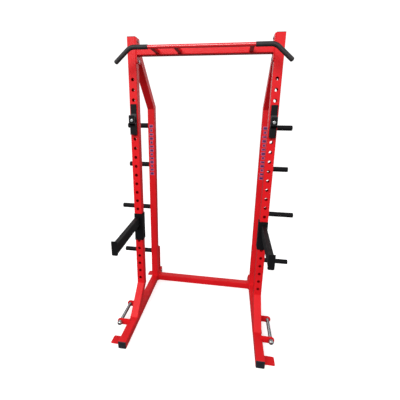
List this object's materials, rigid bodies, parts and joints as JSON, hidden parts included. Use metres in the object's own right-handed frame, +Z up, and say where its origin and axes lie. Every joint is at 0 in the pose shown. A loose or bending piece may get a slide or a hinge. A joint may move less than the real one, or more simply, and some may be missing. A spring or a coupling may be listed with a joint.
{
  "type": "power cage",
  "caption": "Half rack of square steel tube with a bent pull-up bar, hook cups for a barbell, spotter arms, plate storage pegs, band rods and floor tabs.",
  "frame": {"origin": "centre of the footprint, on the floor", "axes": "+Z up; the lifter stands in front of the uprights, at -Y; +X is to the right of someone who faces the rack from there"},
  "size_m": [1.8596, 1.2494, 2.518],
  "materials": {
    "red_paint": "semi-gloss powder coat with a fine texture",
    "black_paint": "satin powder coat",
    "black_plastic": "moulded",
    "grip_rubber": "matte",
    "zinc_steel": "bright zinc"
  },
  "bodies": {
    "frame": {"front_upright_right": "red_paint", "front_upright_left": "red_paint", "rear_upright_right": "red_paint", "rear_upright_left": "red_paint", "base_rail_right": "red_paint", "base_rail_left": "red_paint", "top_crossmember": "red_paint", "rear_crossmember": "red_paint", "upright_cap_right": "black_plastic", "upright_cap_left": "black_plastic", "rail_plug_front_right": "black_plastic", "rail_plug_front_left": "black_plastic", "rail_plug_rear_right": "black_plastic", "rail_plug_rear_left": "black_plastic", "top_flange_bolt_1_right": "zinc_steel", "top_flange_bolt_1_left": "zinc_steel", "top_flange_bolt_2_right": "zinc_steel", "top_flange_bolt_2_left": "zinc_steel", "rear_flange_bolt_1_right": "zinc_steel", "rear_flange_bolt_1_left": "zinc_steel", "rear_flange_bolt_2_right": "zinc_steel", "rear_flange_bolt_2_left": "zinc_steel", "pull_up_bar": "red_paint", "pull_up_grip_right": "grip_rubber", "pull_up_grip_left": "grip_rubber", "bar_standoff_outer_left": "red_paint", "bar_standoff_inner_left": "red_paint", "bar_standoff_right": "red_paint", "weight_peg_1_right": "black_paint", "weight_peg_1_left": "black_paint", "weight_peg_2_right": "black_paint", "weight_peg_2_left": "black_paint", "weight_peg_3_right": "black_paint", "weight_peg_3_left": "black_paint", "weight_peg_4_right": "black_paint", "weight_peg_4_left": "black_paint", "bar_holder_right": "red_paint", "bar_holder_left": "red_paint", "band_rod_right": "zinc_steel", "band_rod_left": "zinc_steel", "band_nut_front_right": "zinc_steel", "band_nut_front_left": "zinc_steel", "band_nut_rear_right": "zinc_steel", "band_nut_rear_left": "zinc_steel"},
    "jcup_right": {"jcup_body_right": "black_paint", "jcup_liner_right": "black_plastic", "jcup_bolt_right": "zinc_steel"},
    "spotter_arm_right": {"arm_bracket_right": "black_paint", "arm_beam_right": "black_paint", "arm_end_plate_right": "black_paint"},
    "jcup_left": {"jcup_body_left": "black_paint", "jcup_liner_left": "black_plastic", "jcup_bolt_left": "zinc_steel"},
    "spotter_arm_left": {"arm_bracket_left": "black_paint", "arm_beam_left": "black_paint", "arm_end_plate_left": "black_paint"}
  },
  "joints": [
    {"name": "jcup_pull_right", "type": "slide", "parent": "frame", "child": "jcup_right", "axis": [0, -1, 0], "range_m": [0, 0.1]},
    {"name": "spotter_arm_pull_right", "type": "slide", "parent": "frame", "child": "spotter_arm_right", "axis": [0, -1, 0], "range_m": [0, 0.1]},
    {"name": "jcup_pull_left", "type": "slide", "parent": "frame", "child": "jcup_left", "axis": [0, -1, 0], "range_m": [0, 0.1]},
    {"name": "spotter_arm_pull_left", "type": "slide", "parent": "frame", "child": "spotter_arm_left", "axis": [0, -1, 0], "range_m": [0, 0.1]}
  ]
}
